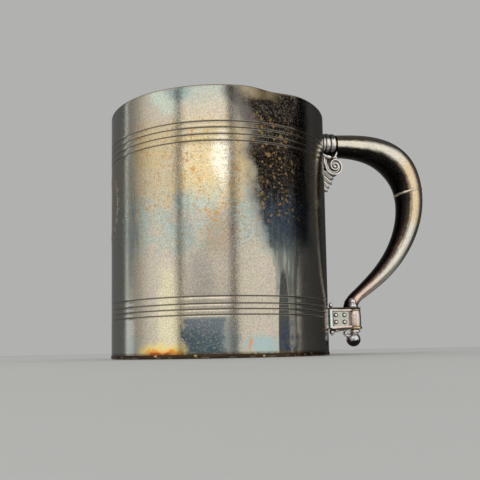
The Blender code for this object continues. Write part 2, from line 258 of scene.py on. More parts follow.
def path_samples(knots, start, end, count):
    """(x, z, radius, lean) along the spline through the knots."""
    at = spline_through(knots)
    samples = []
    for u in np.linspace(start, end, count):
        rise = at(u + 0.001) - at(u - 0.001)
        samples.append((*at(u), atan2(rise[1], rise[0])))
    return samples


def horn(knots, across=1, count=16):
    """Points and faces of a tapered, curved lobe along the knots, closed at both ends."""
    rings = [ring_points(sample, 20, across) for sample in path_samples(knots, 0, 1, count)]
    return skin(rings, capped=True)


def merged(parts):
    """Joins (points, faces) pairs into one."""
    points = []
    faces = []
    for more_points, more_faces in parts:
        shift = len(points)
        points += more_points
        faces += [tuple(i + shift for i in face) for face in more_faces]
    return points, faces


def on_both_sides(part, reach):
    """A (points, faces) pair moved along y by the reach to either side."""
    points, faces = part
    return [([(x, y + side * reach, z) for x, y, z in points], faces) for side in (-1, 1)]


def wobble(x, y, z, size, seed=0):
    return noise.noise(Vector((x / size + seed, y / size, z / size)))


# ---------------------------------------------------------------- finishes

class Graph:
    """Node graph with shorthand for the sums that the finishes and the studio need."""

    def __init__(self, tree):
        self.tree = tree
        self.colour = None

    def node(self, kind, sockets=None, **settings):
        made = self.tree.nodes.new(kind)
        for key, value in settings.items():
            setattr(made, key, value)
        for socket, source in (sockets or {}).items():
            self.feed(made.inputs[socket], source)
        return made

    def feed(self, socket, source):
        if isinstance(source, bpy.types.NodeSocket):
            self.tree.links.new(source, socket)
        elif isinstance(source, tuple) and len(source) == 3 and len(socket.default_value) == 4:
            socket.default_value = (*source, 1)
        else:
            socket.default_value = source

    def split(self, vector):
        return self.node("ShaderNodeSeparateXYZ", {0: vector}).outputs

    def math(self, operation, a, b=0, clamp=False):
        return self.node("ShaderNodeMath", {0: a, 1: b}, operation=operation, use_clamp=clamp).outputs[0]

    def fold(self, operation, values):
        made = values[0]
        for value in values[1:]:
            made = self.math(operation, made, value)
        return made

    def times(self, *values):
        return self.fold("MULTIPLY", values)

    def plus(self, *values):
        return self.fold("ADD", values)

    def most(self, *values):
        return self.fold("MAXIMUM", values)

    def minus(self, a, b):
        return self.math("SUBTRACT", a, b)

    def span(self, value, low, high, out_low=0, out_high=1):
        """Smooth step from out_low at low to out_high at high."""
        sockets = dict(enumerate((value, low, high, out_low, out_high)))
        return self.node("ShaderNodeMapRange", sockets, interpolation_type="SMOOTHSTEP").outputs[0]

    def band(self, value, low, high, soft):
        """1 between low and high, falling to 0 over soft outside them."""
        return self.times(self.span(value, low - soft, low), self.span(value, high, high + soft, 1, 0))

    def mix(self, share, a, b):
        made = self.node("ShaderNodeMix", {0: share}, data_type="RGBA")
        for socket, source in zip([socket for socket in made.inputs if socket.type == "RGBA"], (a, b)):
            self.feed(socket, source)
        return next(socket for socket in made.outputs if socket.type == "RGBA")

    def lay(self, tone, *masks):
        """Lays a tone over the colour so far, by the product of the masks."""
        self.colour = self.mix(self.times(*masks), self.colour, tone)

    def shade(self, amount):
        """Makes the colour so far lighter or darker by an amount about 1."""
        sockets = {0: self.colour, "Scale": amount}
        self.colour = self.node("ShaderNodeVectorMath", sockets, operation="SCALE").outputs[0]

    def ramp(self, value, stops):
        made = self.node("ShaderNodeValToRGB", {0: value})
        elements = made.color_ramp.elements
        for place, colour in stops[2:]:
            elements.new(place)
        for element, (place, colour) in zip(elements, stops):
            element.position = place
            element.color = (*colour, 1)
        return made.outputs[0]


class Finish(Graph):
    """Node graph of one metal finish, with the place on the mug in millimetres at hand."""

    def __init__(self, name):
        self.material = bpy.data.materials.new(name)
        self.material.use_nodes = True
        super().__init__(self.material.node_tree)
        self.shader = self.tree.nodes["Principled BSDF"]
        self.shader.inputs["Metallic"].default_value = 1
        sockets = {0: self.node("ShaderNodeTexCoord").outputs["Object"], "Scale": 1 / MM}
        self.place = self.node("ShaderNodeVectorMath", sockets, operation="SCALE").outputs[0]
        self.x, self.y, self.z = self.split(self.place)

    def moved(self, shift, stretch=(1, 1, 1)):
        """The place, stretched and shifted."""
        sockets = {"Vector": self.place, "Scale": [1 / s for s in stretch], "Location": [shift] * 3}
        return self.node("ShaderNodeMapping", sockets).outputs[0]

    def cloud(self, size, detail, stretch=(1, 1, 1), shift=0, rough=0.5):
        """Noise from 0 to 1 with features of about the given size."""
        sockets = {
            "Vector": self.moved(shift, stretch), "Scale": 1 / size, "Detail": detail, "Roughness": rough,
        }
        return self.span(self.node("ShaderNodeTexNoise", sockets).outputs["Fac"], 0.25, 0.75)

    def swing(self, noise, amount):
        """Noise moved to swing evenly about 0, by half the amount to each side."""
        return self.times(self.minus(noise, 0.5), amount)

    def spots(self, size, radius, share, shift=0):
        """Round spots of varied size, about radius times size, on a share of the scattered points."""
        sockets = {"Vector": self.moved(shift), "Scale": 1 / size}
        cells = self.node("ShaderNodeTexVoronoi", sockets, feature="F1").outputs
        chance = self.node("ShaderNodeSeparateColor", {0: cells["Color"]}).outputs[0]
        reach = self.times(radius, self.span(chance, 1 - share, 1, 0.35, 1))
        inside = self.minus(reach, cells["Distance"])
        there = self.math("GREATER_THAN", chance, 1 - share)
        return self.times(there, self.span(inside, 0, 0.12))

    def blob(self, turn, height, half_turn, half_height, soft=0.5, ragged=True):
        """Round patch on the body: 1 inside, 0 outside, its edge soft by a share of its size."""
        across = self.math("DIVIDE", self.minus(self.turn if ragged else self.true_turn, turn), half_turn)
        up = self.math("DIVIDE", self.minus(self.height if ragged else self.z, height), half_height)
        reach = self.math("SQRT", self.plus(self.times(across, across), self.times(up, up)))
        return self.span(reach, 1 - soft, 1 + soft, 1, 0)

    def round_the_body(self, ragged):
        """Turn and height on the body, with their edges made ragged by noise."""
        self.true_turn = self.times(self.math("ARCTAN2", self.y, self.x), 180 / pi)
        self.turn = self.plus(self.true_turn, self.swing(self.cloud(9, 4, rough=0.65), ragged))
        self.height = self.plus(self.z, self.swing(self.cloud(8, 4, shift=37, rough=0.65), ragged))

    def curve(self, value, stops, low, high):
        """Piecewise-linear function of a value, from (value, result) stops within low to high."""
        first, last = stops[0][0], stops[-1][0]
        place = self.math("DIVIDE", self.minus(value, first), last - first, clamp=True)
        grey = [((v - first) / (last - first), ((r - low) / (high - low),) * 3) for v, r in stops]
        level = self.node("ShaderNodeSeparateColor", {0: self.ramp(place, grey)}).outputs[0]
        return self.plus(self.times(level, high - low), low)

    def attribute(self, name):
        return self.node("ShaderNodeAttribute", attribute_name=name).outputs["Fac"]

    def cavity(self, reach):
        """1 in recesses narrower than about the reach, 0 on open surfaces."""
        made = self.node("ShaderNodeAmbientOcclusion", {"Distance": reach * MM}, samples=6, only_local=True)
        return self.math("SUBTRACT", 1, made.outputs["AO"], clamp=True)

    def scratches(self, length=6, width=0.1, shift=0, lean=0.5):
        """Fine straight scratches in one direction."""
        rotation = (lean, lean * 1.3, lean * 0.7)
        sockets = {"Vector": self.place, "Location": [shift] * 3, "Rotation": rotation}
        leant = self.node("ShaderNodeMapping", sockets).outputs[0]
        sockets = {"Vector": leant, "Scale": (1 / width, 1 / width, 1 / length)}
        drawn_out = self.node("ShaderNodeMapping", sockets).outputs[0]
        grain = self.node("ShaderNodeTexNoise", {"Vector": drawn_out, "Scale": 0.5, "Detail": 1})
        return self.span(grain.outputs["Fac"], 0.69, 0.73)

    def done(self, roughness, relief=None, depth=0.02):
        """Connects the colour, the roughness and a relief of the given depth in millimetres."""
        self.feed(self.shader.inputs["Base Color"], self.colour)
        self.feed(self.shader.inputs["Roughness"], roughness)
        if relief is not None:
            bump = self.node("ShaderNodeBump", {"Strength": 1, "Distance": depth * MM, "Height": relief})
            self.feed(self.shader.inputs["Normal"], bump.outputs[0])
        return self.material


CREAM = (0.6, 0.55, 0.43)
SILVER = (0.74, 0.73, 0.7)
STRAW = (0.66, 0.53, 0.29)
ORANGE = (0.6, 0.31, 0.08)
BLUE_GREY = (0.27, 0.35, 0.36)
TEAL = (0.14, 0.165, 0.15)
NAVY = (0.03, 0.05, 0.075)
BLACK_BROWN = (0.014, 0.01, 0.008)
PINK_GREY = (0.6, 0.52, 0.47)
YELLOW = (0.84, 0.7, 0.3)
BLUE_WHITE = (0.47, 0.55, 0.5)
BROWN = (0.42, 0.33, 0.22)
OLIVE = (0.26, 0.21, 0.11)
GILT = (0.27, 0.17, 0.06)
COPPER_STAIN = (0.72, 0.52, 0.42)


def body_finish():
    f = Finish("tarnished_plate_outside")
    f.round_the_body(4)
    grain = f.cloud(0.42, 3, rough=0.8)
    patches = f.cloud(8, 5, shift=11, rough=0.65)
    streaks = f.cloud(1.3, 3, stretch=(1, 1, 8))

    f.colour = f.mix(f.times(patches, 0.6), CREAM, PINK_GREY)
    straw = f.times(f.band(f.height, 50, 64, 10), f.span(f.cloud(9, 4, shift=5), 0.1, 0.7, 0.5, 1))
    f.lay(STRAW, straw, 0.85)
    cool = f.times(f.band(f.height, 36, 44, 8), f.span(f.cloud(6, 4, shift=23), 0.15, 0.6))
    cool = f.most(cool, f.blob(-116, 82, 20, 7), f.times(f.blob(-150, 42, 5, 20), streaks))
    f.lay(BLUE_WHITE, cool, 0.8)
    slant = f.plus(f.minus(f.height, 77), f.times(f.plus(f.turn, 128), 0.55))
    slant = f.times(f.band(slant, -1.6, 1.6, 2), f.band(f.turn, -136, -121.5, 3))
    f.lay((0.6, 0.68, 0.58), slant, 0.8)
    deep = f.times(f.blob(-149, 40, 5.5, 14), f.span(streaks, 0.3, 0.8))
    deep = f.most(deep, f.blob(-120.5, 80.5, 7, 4.2), f.times(f.blob(-118, 42, 6, 9), streaks))
    deep = f.most(deep, f.times(f.blob(-84, 41, 5, 7), streaks))
    f.lay(BLUE_GREY, deep, 0.7)
    f.lay(BROWN, f.blob(-102, 36, 7, 7), 0.6)
    f.lay((0.34, 0.34, 0.32), f.blob(-110, 24, 4.5, 9), 0.45)
    # Near-white spot in the middle panel: clean metal, and a painted highlight where the studio's hot spot
    # falls.
    f.lay((0.93, 0.91, 0.82), f.blob(-99.5, 58, 5, 7.5), 0.7)
    f.lay((0.8, 0.74, 0.5), f.blob(-125.5, 12, 6.5, 14), 0.75)
    f.lay((0.74, 0.66, 0.62), f.blob(-151.5, 9, 4, 5), 0.8)

    # Orange speckles, thickest in the middle of the body, on a finely mottled ground.
    f.shade(f.span(grain, 0.15, 0.85, 0.8, 1.16))
    speckled = f.times(f.band(f.z, 40, 66, 12), f.span(f.cloud(7, 3, shift=41), 0.15, 0.6, 0.45, 1))
    speckle = f.most(f.spots(1.25, 0.4, 0.9), f.spots(0.7, 0.42, 0.9, 9), f.spots(2.1, 0.4, 0.35, 21))
    f.lay(ORANGE, speckle, speckled, 0.72)
    cooler = f.times(f.spots(0.9, 0.42, 0.6, shift=17), f.band(f.z, 33, 62, 12))
    f.lay(BLUE_GREY, cooler, 0.45)

    # Stains above the foot.
    slab_edge = f.times(f.band(f.turn, -118.5, -100.5, 1.6), f.span(f.z, 12.1, 10.6))
    flecked = f.span(f.cloud(0.7, 3, shift=61, rough=0.8), 0.55, 0.9, 1, 0.45)
    low = f.span(f.plus(f.z, f.times(patches, 5)), 13, 5)
    slab_tone = f.mix(low, (0.18, 0.23, 0.28), (0.06, 0.115, 0.15))
    f.lay(slab_tone, slab_edge, flecked, 0.95)
    f.lay(BLUE_GREY, f.blob(-97, 5, 3.5, 6), 0.7)
    ground = f.plus(f.z, f.swing(f.cloud(3, 4, shift=71), 1.6))
    f.lay(YELLOW, f.band(f.turn, -142, -121.5, 5), f.span(ground, 5.4, 2.6))
    f.lay((0.85, 0.4, 0.07), f.band(f.turn, -137, -122.5, 4), f.span(ground, 3.1, 1.9))
    f.lay((0.5, 0.09, 0.02), f.band(f.turn, -134, -126, 4), f.span(ground, 2.1, 1.5))
    f.lay(BLUE_WHITE, f.blob(-150, 2.5, 6, 3), 0.6)
    f.lay((0.4, 0.55, 0.56), f.blob(-83, 4, 8, 2.8, 0.4), 0.85)
    f.lay((0.72, 0.36, 0.18), f.blob(-87.6, 3.6, 0.8, 2, 0.4), 0.9)

    # Streaks and a dark lens low on the right, then the black patch above them.
    teal = f.times(f.band(f.turn, -75.5, -62.5, 1.5), f.span(f.height, 40, 34), f.span(f.z, 14, 24))
    streaked = f.mix(f.span(streaks, 0.35, 0.85), TEAL, (0.34, 0.36, 0.31))
    f.lay(streaked, teal, 0.92)
    f.lay((0.05, 0.06, 0.065), f.blob(-70.8, 4, 3.3, 21.5, 0.08, ragged=False), 0.96)
    beside = f.times(f.band(f.true_turn, -68, -63.2, 0.7), f.span(f.z, 27, 21))
    f.lay((0.13, 0.14, 0.125), beside, f.span(streaks, 0.1, 0.8, 0.95, 0.7))
    low_blue = f.times(f.blob(-67.5, 3, 6, 5, 0.5), f.span(f.cloud(2.2, 4, shift=5), 0.2, 0.7))
    f.lay((0.03, 0.055, 0.1), low_blue, 0.85)

    stops = (
        (28, -72), (31, -75.5), (34, -79.5), (39, -81.5), (47, -83.5), (54, -85.5),
        (61, -87), (67, -88.8), (73, -92.5), (81, -97.5),
    )
    edge = f.curve(f.height, stops, -100, -60)
    past = f.plus(f.minus(f.turn, edge), f.swing(grain, 2.5))
    there = f.times(f.span(past, -1.6, 2.6), f.span(f.turn, -45, -56))
    fringe = f.times(f.span(past, -6, 0), f.span(f.height, 28, 34), f.span(f.turn, -45, -56))
    f.lay((0.17, 0.19, 0.19), fringe, 0.62)
    drip = f.plus(f.height, f.swing(streaks, -9))
    dark = f.mix(f.span(drip, 52, 40), (0.01, 0.007, 0.006), NAVY)
    dark = f.mix(f.span(drip, 40, 29), dark, (0.1, 0.13, 0.125))
    worn = f.span(f.cloud(0.9, 3, shift=83, rough=0.75), 0.52, 0.85)
    dark = f.mix(f.times(worn, f.span(f.height, 60, 72, 0.25, 0.7)), dark, (0.16, 0.13, 0.095))
    near = f.times(f.span(past, 10, 2), f.span(f.height, 58, 72))
    dark = f.mix(f.times(near, 0.85), dark, (0.2, 0.185, 0.165))
    gilt = f.most(f.spots(2.2, 0.4, 0.85, shift=3), f.spots(1.3, 0.42, 0.85, shift=29))
    gilt = f.times(gilt, f.span(f.cloud(4, 3, shift=3), 0.1, 0.5, 0.3, 1))
    gilt = f.times(gilt, f.band(f.height, 42, 68, 7), f.span(f.turn, -50, -64))
    dots = f.times(f.spots(0.7, 0.38, 0.5, shift=53), f.span(f.height, 36, 50))
    dark = f.mix(f.times(dots, 0.55), dark, GILT)
    dark = f.mix(f.times(gilt, 0.85), dark, GILT)
    black = f.times(there, f.span(f.height, 27, 36))
    f.lay(dark, black)

    # The side towards the handle and the far side.
    handle_side = f.times(f.span(f.turn, -64, -56), f.span(f.turn, 62, 50))
    f.lay((0.5, 0.52, 0.5), handle_side, f.minus(1, black), 0.6)
    f.lay((0.5, 0.55, 0.53), f.span(f.turn, -147, -151), 0.6)
    far = f.times(f.span(f.turn, 60, 75), f.span(f.cloud(22, 4, shift=60, rough=0.6), 0.42, 0.62))
    f.lay(NAVY, far, 0.9)
    f.lay(BLACK_BROWN, f.span(far, 0.5, 1), 0.9)
    far_gilt = f.times(f.spots(2, 0.42, 0.6, shift=13), f.span(far, 0.5, 1))
    f.lay(GILT, far_gilt, 0.8)

    # Knocked and worn rim, wear and dirt along the ring lines.
    rim = f.most(f.span(f.z, 80.2, 80.8), f.blob(-81, 82, 11, 4.2, 0.35))
    pale_rim = f.mix(f.span(f.turn, -92, -80), (0.5, 0.42, 0.28), OLIVE)
    f.lay(pale_rim, rim, 0.85)
    dirt = f.most(*(f.band(f.z, z - 0.07, z + 0.07, 0.1) for z in GROOVES))
    wear = f.most(*(f.band(f.z, z - 0.3, z + 0.3, 0.12) for z in GROOVES))
    f.lay((0.56, 0.49, 0.4), wear, f.span(grain, 0.2, 0.7, 0.1, 0.45))
    f.lay(BLACK_BROWN, dirt, 0.6)
    foot = f.span(f.z, 2, 1.1)
    f.lay((0.12, 0.07, 0.03), foot, f.span(grain, 0.2, 0.8, 0.3, 0.9))

    marks = f.most(f.scratches(), f.scratches(5, 0.09, 50, -0.9), f.scratches(4, 0.08, 20, 1.9))
    f.lay(SILVER, marks, 0.3)
    crust = f.most(f.times(speckle, speckled), f.times(gilt, black))
    gloss = f.plus(f.times(f.cloud(6, 4, shift=19), 0.06), 0.05)
    roughness = f.plus(gloss, f.times(crust, 0.12), f.times(marks, 0.12))
    relief = f.plus(f.times(grain, 0.8), f.times(speckle, speckled, 0.5), f.times(marks, -0.5))
    return f.done(roughness, relief, 0.008)


def simple_finish(name, light, dark, stain, size, rough, pits=0.004, cavity=1):
    """Worn plate: two tones and a stain in clouds, dark recesses, scratches and fine pits."""
    f = Finish(name)
    f.colour = f.mix(f.cloud(size, 4), light, dark)
    f.lay(stain, f.span(f.cloud(size * 0.7, 4, shift=31), 0.5, 0.9), 0.7)
    if cavity:
        hollow = f.span(f.cavity(cavity), 0.12, 0.55)
        f.lay(BLACK_BROWN, hollow, 0.92)
    marks = f.scratches(3, 0.07, shift=7)
    f.lay(SILVER, marks, 0.3)
    grain = f.cloud(0.25, 3, shift=3)
    smoothest, roughest = rough
    spread = f.times(f.cloud(size * 0.5, 3, shift=13), roughest - smoothest)
    roughness = f.plus(spread, smoothest, f.times(marks, 0.1))
    relief = f.minus(grain, f.times(marks, 0.6))
    return f.done(roughness, relief, pits)


def cast_finish(name, light, dark, stain=COPPER_STAIN, shade_black_below=None, brown_above=None, cavity=0.6):
    """Polished casting: bright high spots over black recesses, with painted shade that blackens its
    undersides and, when a height is given, everything below it.
    """
    f = Finish(name)
    f.colour = f.mix(f.cloud(1.3, 4), light, dark)
    f.lay(stain, f.span(f.cloud(1.7, 4, shift=31), 0.62, 0.9), 0.45)
    # Painted shade: faces that point down are darkened.
    normal = f.split(f.node("ShaderNodeNewGeometry").outputs["Normal"])
    painted_underside_shade = f.span(normal[2], -0.6, -0.95)
    f.lay(BLACK_BROWN, painted_underside_shade, 0.6)
    hollow = f.span(f.cavity(cavity), 0.25, 0.55)
    f.lay(BLACK_BROWN, hollow, 0.97)
    drift = f.swing(f.cloud(1, 3, shift=9), 1.2)
    # Painted shade: black below the given height.
    if shade_black_below is not None:
        under = f.span(f.plus(f.z, drift), shade_black_below + 0.5, shade_black_below - 0.5)
        f.lay(BLACK_BROWN, under, 0.97)
    if brown_above is not None:
        over = f.span(f.plus(f.z, drift), brown_above - 0.4, brown_above + 0.5)
        f.lay((0.045, 0.036, 0.028), over, 0.9)
    marks = f.scratches(2.5, 0.06, shift=7)
    f.lay(SILVER, marks, 0.3)
    roughness = f.plus(f.times(f.cloud(0.8, 3, shift=13), 0.14), 0.1)
    relief = f.minus(f.cloud(0.3, 3, shift=3), f.times(marks, 0.6))
    return f.done(roughness, relief, 0.006)


def handle_finish():
    f = Finish("handle_plate")
    outward = f.attribute("outward")
    along = f.attribute("along")
    ragged = f.swing(f.cloud(4, 4, rough=0.65), 0.12)
    out = f.plus(outward, ragged)
    streaks = f.cloud(1, 3, shift=8)
    f.colour = f.mix(f.cloud(7, 3), (0.92, 0.86, 0.7), (0.8, 0.76, 0.68))
    f.lay((0.84, 0.58, 0.28), f.band(along, 30, 46, 8), 0.6)
    f.lay((0.9, 0.62, 0.5), f.span(along, 66, 88), 0.8)
    stripe = f.band(f.plus(out, f.times(along, -0.002)), 0.18, 0.24, 0.08)
    f.lay((0.42, 0.39, 0.34), stripe, f.band(along, 36, 110, 10), 0.55)
    f.lay((0.8, 0.55, 0.25), f.spots(1.2, 0.4, 0.5, shift=6), 0.25)
    clean_until = f.curve(along, ((0, 0.16), (18, 0.24), (34, 0.68), (60, 0.74), (120, 0.7)), 0, 1)
    beyond = f.minus(out, clean_until)
    f.lay((0.075, 0.055, 0.035), f.span(beyond, 0, 0.24), 0.93)
    f.lay((0.26, 0.17, 0.08), f.spots(2.2, 0.4, 0.5), f.span(beyond, 0.1, 0.3), 0.6)
    # Painted shade: the inner side of the handle's loop is black, turning brown-black lower down the handle.
    inner_shade_tone = f.mix(f.span(along, 44, 62), (0.012, 0.01, 0.009), (0.085, 0.04, 0.028))
    painted_inner_shade = f.span(out, -0.14, -0.42)
    f.lay(inner_shade_tone, painted_inner_shade, 0.97)
    f.lay((0.012, 0.01, 0.009), f.span(out, -0.42, -0.72), 0.95)
    marks = f.most(f.scratches(5, 0.08), f.scratches(6, 0.08, 50, 1.1))
    f.lay(SILVER, marks, 0.25)
    grain = f.cloud(0.4, 2, shift=5)
    f.shade(f.span(grain, 0.2, 0.8, 0.85, 1.1))
    roughness = f.plus(f.times(streaks, 0.06), 0.17, f.times(marks, 0.1))
    relief = f.minus(grain, f.times(marks, 0.6))
    return f.done(roughness, relief, 0.003)


def inside_finish():
    f = Finish("dull_plate_inside")
    f.round_the_body(6)
    f.colour = f.mix(f.cloud(12, 4), (0.42, 0.38, 0.28), (0.22, 0.21, 0.19))
    f.lay((0.3, 0.22, 0.11), f.span(f.cloud(9, 4, shift=15), 0.5, 0.9))
    tide = f.band(f.height, 52, 53, 2.5)
    f.lay(BLACK_BROWN, tide, 0.5)
    f.lay((0.1, 0.085, 0.07), f.span(f.height, 20, 4), 0.6)
    f.lay((0.4, 0.34, 0.18), f.span(f.z, 79.8, 80.8), 0.6)
    f.lay(BLACK_BROWN, f.spots(2.4, 0.4, 0.4), 0.5)
    roughness = f.plus(f.times(f.cloud(5, 4, shift=19), 0.18), 0.3)
    return f.done(roughness, f.cloud(0.4, 3), 0.008)


def base_finish():
    f = Finish("base_plate")
    radius = f.math("SQRT", f.plus(f.times(f.x, f.x), f.times(f.y, f.y)))
    f.colour = f.mix(f.cloud(8, 4), (0.3, 0.25, 0.17), (0.12, 0.105, 0.09))
    flecks = f.spots(1.3, 0.5, 0.5)
    edge = f.span(radius, 34.5, 35.8)
    f.lay((0.05, 0.03, 0.018), edge, 0.9)
    f.lay((0.62, 0.44, 0.18), edge, flecks, 0.9)
    under = f.span(f.z, 0.4, 0.05)
    scuffs = f.span(f.cloud(3, 5, shift=4), 0.55, 0.75)
    f.lay((0.5, 0.4, 0.24), under, scuffs, 0.8)
    turning = f.math("SINE", f.times(radius, 9))
    roughness = f.plus(f.times(f.cloud(5, 4, shift=19), 0.2), 0.28)
    relief = f.plus(f.times(turning, 0.2), f.cloud(0.5, 3))
    return f.done(roughness, relief, 0.006)


# ---------------------------------------------------------------- pieces

def settle(piece, finish, *nodes, slot="worn_plate"):
    """Gives a piece its finish and body, and hides the CAD nodes that it stands for. The slot is not used.
    """
    piece.data.materials.append(finish)
    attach(piece, "root")
    if nodes:
        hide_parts(*nodes)


def wall_radius(z):
    return FOOT_RADIUS + (RIM_RADIUS - FOOT_RADIUS) * z / HEIGHT


def wall_point(radius, z, turn):
    """Point of the wall with its slight waves and the knock at the rim."""
    x = radius * cos(turn)
    y = radius * sin(turn)
    swell = 1 + 0.02 * wobble(x, y, z, 16) / radius
    dent = radians(DENT_TURN)
    away = (turn - dent + pi) % (2 * pi) - pi
    push = DENT_DEPTH * exp(-(radius * away / DENT_WIDTH)**2 - ((HEIGHT - z) / DENT_REACH)**2)
    return (x * swell - push * cos(dent), y * swell - push * sin(dent), z)


def wall_rows():
    """(radius, z) rows down the outside and up the inside."""
    def arc(radius, turns):
        """Rounded edge of the rim about a centre at the radius."""
        turns = [radians(turn) for turn in turns]
        return [(radius + LIP_RADIUS * cos(a), HEIGHT + LIP_RADIUS * (sin(a) - 1)) for a in turns]

    rows = arc(wall_radius(HEIGHT) - LIP_RADIUS, range(90, -1, -18))
    plain = list(np.arange(HEIGHT - 1, HEIGHT - 12, -0.7)) + list(np.arange(62, 2, -2.2))
    cuts = [(z + offset, depth) for z in GROOVES for offset, depth in GROOVE_SHAPE]
    heights = [(z, 0) for z in plain if all(abs(z - groove) > 0.5 for groove in GROOVES)]
    for z, depth in sorted(heights + cuts, reverse=True):
        rows.append((wall_radius(z) - depth, z))
    rows.append((wall_radius(BASE_THICKNESS), BASE_THICKNESS))
    inner = list(np.arange(BASE_THICKNESS, HEIGHT - 12, 4)) + list(np.arange(HEIGHT - 11, HEIGHT - 0.5, 0.8))
    rows += [(wall_radius(z) - WALL, z) for z in inner]
    return rows + arc(wall_radius(HEIGHT) - WALL + LIP_RADIUS, range(162, 89, -18))


def build_body():
    rows = wall_rows()
    rings = [[wall_point(radius, z, turn) for turn in around(BODY_SEGMENTS)] for radius, z in rows]
    wall = mesh_piece("body_shell", *skin(rings, closed=True), 60)
    settle(wall, body_finish(), "body_wall", slot="tarnished_plate")
    wall.data.materials.append(inside_finish())
    for face in wall.data.polygons:
        centre = face.center / MM
        reach = hypot(centre.x, centre.y)
        outward = face.normal.x * centre.x + face.normal.y * centre.y
        face.material_index = 1 if outward < -0.3 * reach and centre.z > BASE_THICKNESS else 0

    top = BASE_THICKNESS + SPIGOT_RISE
    spigot = FOOT_RADIUS - WALL - SPIGOT_GAP
    profile = [
        (0, top), (10, top), (20, top), (30, top), (spigot, top), (spigot, BASE_THICKNESS),
        (BASE_RADIUS, BASE_THICKNESS), (BASE_RADIUS, 0), (30, 0), (20, 0), (0, 0),
    ]
    base = turned("base_plate_disc", eased(profile, 0.2), along_z(0, 0), BODY_SEGMENTS)
    settle(base, base_finish(), "base_disc", slot="bare_base_metal")

    fillet = [
        (spigot - 0.1, top + 1.5), (spigot - 0.35, top + 0.8), (spigot - 0.9, top + 0.3),
        (spigot - 1.6, top + 0.02), (spigot - 0.1, top - 0.1),
    ]
    ring = turned("solder_fillet", fillet, along_z(0, 0), BODY_SEGMENTS)
    tones = ((0.4, 0.34, 0.26), (0.22, 0.19, 0.15), (0.12, 0.09, 0.06))
    dull = simple_finish("dull_solder", *tones, 4, (0.35, 0.5), cavity=0)
    settle(ring, dull, "base_solder_fillet", slot="solder")


def tube(name, samples, start):
    """Handle tube along the samples, which stores where its skin faces for the finish."""
    rings = [ring_points(sample, TUBE_SIDES) for sample in samples]
    for ring in rings:
        for k, turn in enumerate(around(TUBE_SIDES)):
            x, y, z = ring[k]
            swell = 0.03 * wobble(x, y, z, 6)
            ring[k] = (x, y + swell * sin(turn), z + swell * cos(turn))
    piece = mesh_piece(name, *skin(rings, capped=True), 60)
    outward = []
    along = []
    travelled = start
    before = samples[0]
    for sample in samples:
        travelled += hypot(sample[0] - before[0], sample[1] - before[1])
        before = sample
        outward += [cos(turn) for turn in around(TUBE_SIDES)]
        along += [travelled] * TUBE_SIDES
    for label, values in (("outward", outward), ("along", along)):
        layer = piece.data.attributes.new(label, "FLOAT", "POINT")
        layer.data.foreach_set("value", values)
    return piece, travelled


def build_handle():
    at = spline_through(HANDLE_KNOTS)
    seam = next(u for u in np.linspace(0, 1, 801) if at(u)[1] < SEAM_HEIGHT)
    finish = handle_finish()
    upper = path_samples(HANDLE_KNOTS, -0.004, seam, 90)
    lower = path_samples(HANDLE_KNOTS, seam, 1, 90)
    upper[-1] = (*upper[-1][:3], SEAM_LEAN)
    lower[0] = (*lower[0][:3], SEAM_LEAN)
    piece, travelled = tube("handle_upper", upper, 0)
    settle(piece, finish, "handle_upper_tube", "handle_joint_sleeve", slot="tarnished_plate")
    piece, travelled = tube("handle_lower", lower, travelled)
    settle(piece, finish, "handle_lower_tube")

    x, z, radius, lean = lower[-1]
    along = np.array([cos(lean), sin(lean)])
    start = np.array([x, z])
    foot = np.array(ELBOW_FOOT)
    corner = start + along * (start[0] - foot[0]) / -along[0]
    samples = []
    for t in np.linspace(0, 1, 30):
        place = (1 - t)**2 * start + 2 * t * (1 - t) * corner + t**2 * foot
        heading = (1 - t) * (corner - start) + t * (foot - corner)
        width = radius + (ELBOW_FOOT_RADIUS - radius) * t * t
        samples.append((*place, width, atan2(heading[1], heading[0])))
    piece, travelled = tube("handle_foot", samples, travelled)
    settle(piece, finish, "handle_elbow")
    build_seam(at(seam))


def build_seam(place):
    """Uneven bead of bright solder round the handle."""
    x, z, radius = place
    rings = []
    for turn in around(SEAM_SIDES):
        far, side = cos(turn), sin(turn)
        width = 0.5 + 0.16 * wobble(far, side, 0, 0.35, 4)
        proud = 0.19 + 0.08 * wobble(far, side, 0, 0.28, 9)
        drift = 0.25 * wobble(far, side, 0, 0.8, 2)
        ring = []
        for a in around(SEAM_SECTION_SIDES):
            out = radius - 0.1 + (proud + 0.1) * cos(a)
            down = drift + width * sin(a)
            ring.append((
                x - out * far * sin(SEAM_LEAN) + down * cos(SEAM_LEAN), out * side,
                z + out * far * cos(SEAM_LEAN) + down * sin(SEAM_LEAN),
            ))
        rings.append(ring)
    bead = mesh_piece("handle_seam_bead", *skin(rings, closed=True))
    tones = ((0.98, 0.9, 0.74), (0.9, 0.76, 0.54), (0.62, 0.42, 0.22))
    bright = simple_finish("bright_solder", *tones, 2, (0.15, 0.25), cavity=0)
    settle(bead, bright, "handle_joint_solder", slot="solder")


def volute(turn, inset=0):
    """Point of the spiral at a turn in degrees, pulled in towards the centre by inset."""
    degrees, radii = zip(*reversed(VOLUTE_TURNS))
    radius = float(np.interp(turn, degrees, radii)) - inset
    angle = radians(turn)
    x, z = VOLUTE_CENTRE
    return (x + radius * cos(angle), z + radius * sin(angle))


def scroll_ribbon():
    """The rolled ribbon of the scroll: a proud outer edge and a lower band inside it."""
    outer = (
        (-0.46, -1.6), (-0.44, -2.1), (-0.38, -2.18), (-0.06, -2.18), (0, -2.1), (0.02, -1.8), (-0.1, -0.9),
    )
    inner = ((-1.3, -1.5), (-1.28, -1.68), (-1.2, -1.76), (-0.9, -1.76), (-0.82, -1.68), (-0.8, -1.5))
    parts = []
    for half, start in ((outer, 170), (inner, -215)):
        section = half + tuple((d, -y) for d, y in reversed(half))
        rings = []
        for turn in np.linspace(start, -577, 150):
            thin = np.interp(turn, (-577, -400, 0, 170), (1.05, 1, 0.85, 0.6))
            rings.append([(x, y, z) for d, y in section for x, z in [volute(turn, -d * thin)]])
        parts.append(skin(rings, capped=True))
    return parts


